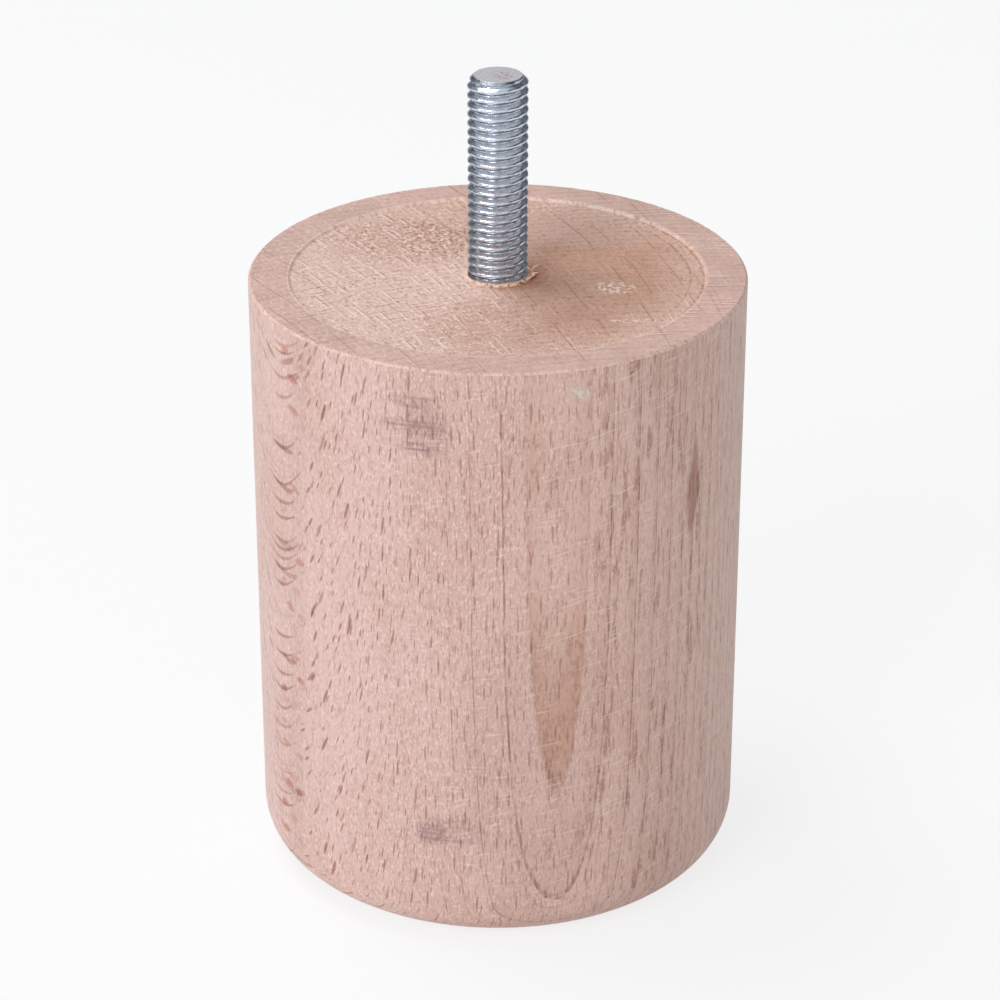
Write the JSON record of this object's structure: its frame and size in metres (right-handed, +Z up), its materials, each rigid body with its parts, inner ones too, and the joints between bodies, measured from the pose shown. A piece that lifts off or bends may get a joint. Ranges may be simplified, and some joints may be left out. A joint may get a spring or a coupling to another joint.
{
  "type": "wooden cabinet foot",
  "caption": "Round turned beech furniture foot with a rounded floor edge, a shallow recessed seat and a threaded steel stud standing up from its centre.",
  "frame": {"origin": "centre of the flat floor face, at floor level", "axes": "+Z up along the turning axis, out of the stud's free end; -Y is the side that the picture shows; X and Y are otherwise free, because the foot is round"},
  "size_m": [0.065, 0.065, 0.11],
  "materials": {
    "raw_beech": "raw turned beech, sanded side, sawn end grain",
    "zinc_plate": "bright zinc-plated rolled thread"
  },
  "bodies": {
    "root": {"foot_body": "raw_beech", "hanger_bolt": "zinc_plate"}
  },
  "joints": []
}
